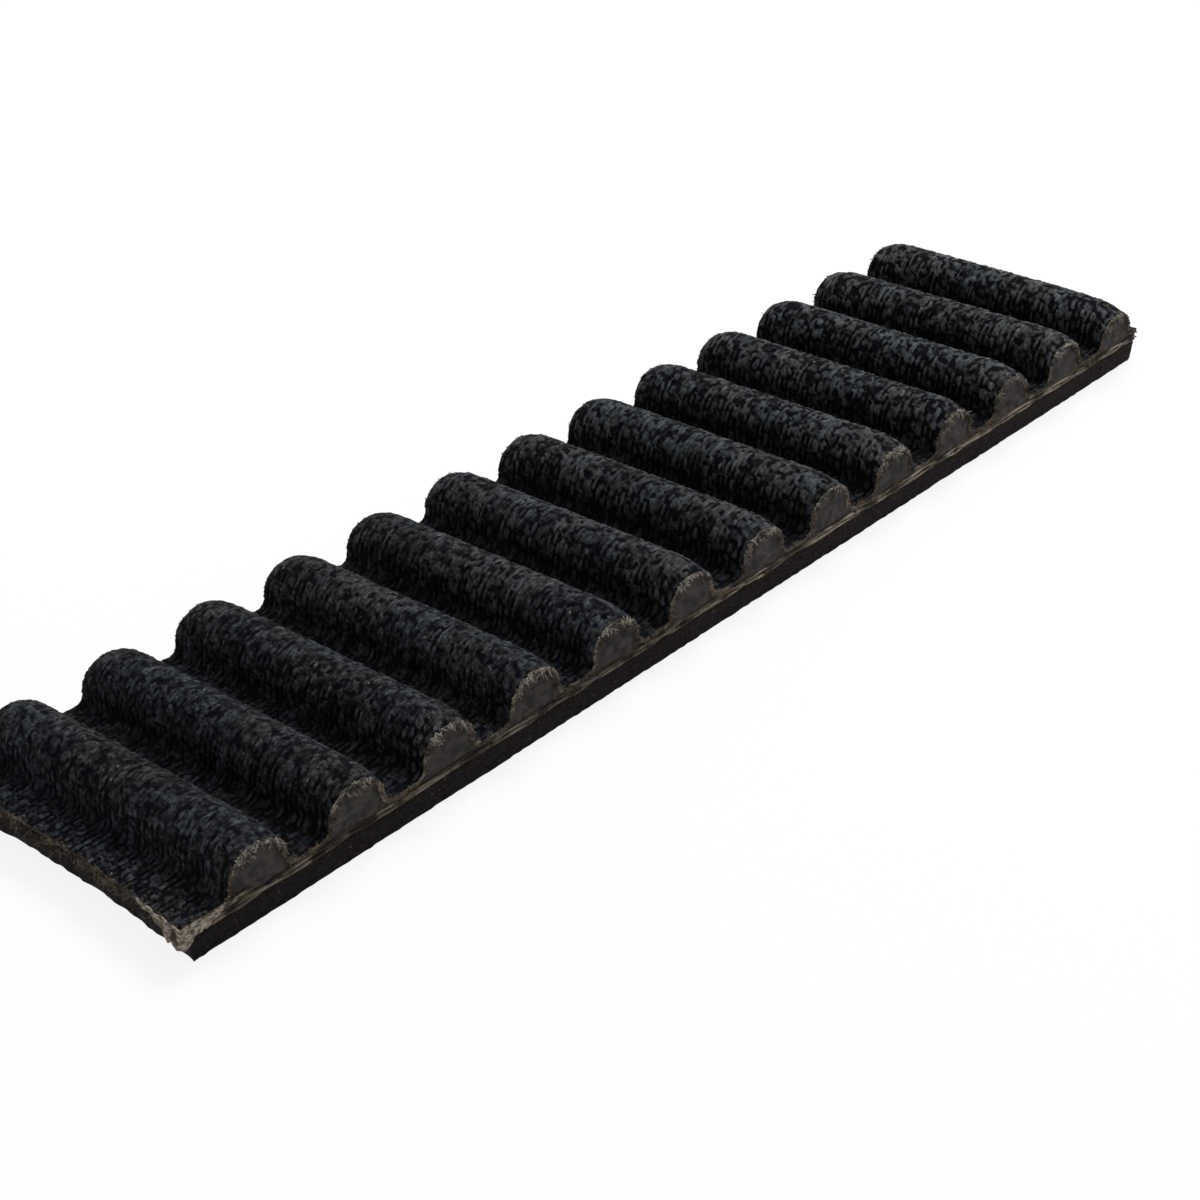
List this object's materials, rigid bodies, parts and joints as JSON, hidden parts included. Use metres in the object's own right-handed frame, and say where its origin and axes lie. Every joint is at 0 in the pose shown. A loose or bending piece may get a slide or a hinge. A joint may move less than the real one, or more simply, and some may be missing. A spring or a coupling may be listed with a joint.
{
  "type": "timing belt length",
  "caption": "Cut length of round-tooth timing belt lying on its back, woven facing on the teeth, cords on the pitch line, bending at every land.",
  "frame": {"origin": "middle of the smooth back face, which is the face the belt lies on", "axes": "+X along the belt, +Y across its width, +Z from the back up to the teeth"},
  "size_m": [0.066, 0.015, 0.0038],
  "materials": {
    "tooth_facing": "worn black woven nylon",
    "tooth_core": "matte, cut",
    "tension_cords": "treated glass-fibre cord",
    "back_rubber": "matte, ground"
  },
  "bodies": {
    "tooth_01": {"tooth_facing_01": "tooth_facing", "tooth_core_01": "tooth_core", "tension_cords_01": "tension_cords", "back_rubber_01": "back_rubber"},
    "tooth_02": {"tooth_facing_02": "tooth_facing", "tooth_core_02": "tooth_core", "tension_cords_02": "tension_cords", "back_rubber_02": "back_rubber"},
    "tooth_03": {"tooth_facing_03": "tooth_facing", "tooth_core_03": "tooth_core", "tension_cords_03": "tension_cords", "back_rubber_03": "back_rubber"},
    "tooth_04": {"tooth_facing_04": "tooth_facing", "tooth_core_04": "tooth_core", "tension_cords_04": "tension_cords", "back_rubber_04": "back_rubber"},
    "tooth_05": {"tooth_facing_05": "tooth_facing", "tooth_core_05": "tooth_core", "tension_cords_05": "tension_cords", "back_rubber_05": "back_rubber"},
    "tooth_06": {"tooth_facing_06": "tooth_facing", "tooth_core_06": "tooth_core", "tension_cords_06": "tension_cords", "back_rubber_06": "back_rubber"},
    "tooth_07": {"tooth_facing_07": "tooth_facing", "tooth_core_07": "tooth_core", "tension_cords_07": "tension_cords", "back_rubber_07": "back_rubber"},
    "tooth_08": {"tooth_facing_08": "tooth_facing", "tooth_core_08": "tooth_core", "tension_cords_08": "tension_cords", "back_rubber_08": "back_rubber"},
    "tooth_09": {"tooth_facing_09": "tooth_facing", "tooth_core_09": "tooth_core", "tension_cords_09": "tension_cords", "back_rubber_09": "back_rubber"},
    "tooth_10": {"tooth_facing_10": "tooth_facing", "tooth_core_10": "tooth_core", "tension_cords_10": "tension_cords", "back_rubber_10": "back_rubber"},
    "tooth_11": {"tooth_facing_11": "tooth_facing", "tooth_core_11": "tooth_core", "tension_cords_11": "tension_cords", "back_rubber_11": "back_rubber"},
    "tooth_12": {"tooth_facing_12": "tooth_facing", "tooth_core_12": "tooth_core", "tension_cords_12": "tension_cords", "back_rubber_12": "back_rubber"},
    "tooth_13": {"tooth_facing_13": "tooth_facing", "tooth_core_13": "tooth_core", "tension_cords_13": "tension_cords", "back_rubber_13": "back_rubber"}
  },
  "joints": [
    {"name": "land_06_07", "type": "hinge", "parent": "tooth_07", "child": "tooth_06", "pos_m": [-0.0017, 0, 0.00116], "axis": [0, 1, 0], "range_deg": [-9.19, 25.71], "stiffness_Nm_per_rad": 0.03},
    {"name": "land_05_06", "type": "hinge", "parent": "tooth_06", "child": "tooth_05", "pos_m": [-0.0067, 0, 0.00116], "axis": [0, 1, 0], "range_deg": [-9.19, 25.71], "stiffness_Nm_per_rad": 0.03},
    {"name": "land_04_05", "type": "hinge", "parent": "tooth_05", "child": "tooth_04", "pos_m": [-0.0117, 0, 0.00116], "axis": [0, 1, 0], "range_deg": [-9.19, 25.71], "stiffness_Nm_per_rad": 0.03},
    {"name": "land_03_04", "type": "hinge", "parent": "tooth_04", "child": "tooth_03", "pos_m": [-0.0167, 0, 0.00116], "axis": [0, 1, 0], "range_deg": [-9.19, 25.71], "stiffness_Nm_per_rad": 0.03},
    {"name": "land_02_03", "type": "hinge", "parent": "tooth_03", "child": "tooth_02", "pos_m": [-0.0217, 0, 0.00116], "axis": [0, 1, 0], "range_deg": [-9.19, 25.71], "stiffness_Nm_per_rad": 0.03},
    {"name": "land_01_02", "type": "hinge", "parent": "tooth_02", "child": "tooth_01", "pos_m": [-0.0267, 0, 0.00116], "axis": [0, 1, 0], "range_deg": [-9.19, 25.71], "stiffness_Nm_per_rad": 0.03},
    {"name": "land_07_08", "type": "hinge", "parent": "tooth_07", "child": "tooth_08", "pos_m": [0.0033, 0, 0.00116], "axis": [0, -1, 0], "range_deg": [-9.19, 25.71], "stiffness_Nm_per_rad": 0.03},
    {"name": "land_08_09", "type": "hinge", "parent": "tooth_08", "child": "tooth_09", "pos_m": [0.0083, 0, 0.00116], "axis": [0, -1, 0], "range_deg": [-9.19, 25.71], "stiffness_Nm_per_rad": 0.03},
    {"name": "land_09_10", "type": "hinge", "parent": "tooth_09", "child": "tooth_10", "pos_m": [0.0133, 0, 0.00116], "axis": [0, -1, 0], "range_deg": [-9.19, 25.71], "stiffness_Nm_per_rad": 0.03},
    {"name": "land_10_11", "type": "hinge", "parent": "tooth_10", "child": "tooth_11", "pos_m": [0.0183, 0, 0.00116], "axis": [0, -1, 0], "range_deg": [-9.19, 25.71], "stiffness_Nm_per_rad": 0.03},
    {"name": "land_11_12", "type": "hinge", "parent": "tooth_11", "child": "tooth_12", "pos_m": [0.0233, 0, 0.00116], "axis": [0, -1, 0], "range_deg": [-9.19, 25.71], "stiffness_Nm_per_rad": 0.03},
    {"name": "land_12_13", "type": "hinge", "parent": "tooth_12", "child": "tooth_13", "pos_m": [0.0283, 0, 0.00116], "axis": [0, -1, 0], "range_deg": [-9.19, 25.71], "stiffness_Nm_per_rad": 0.03}
  ]
}
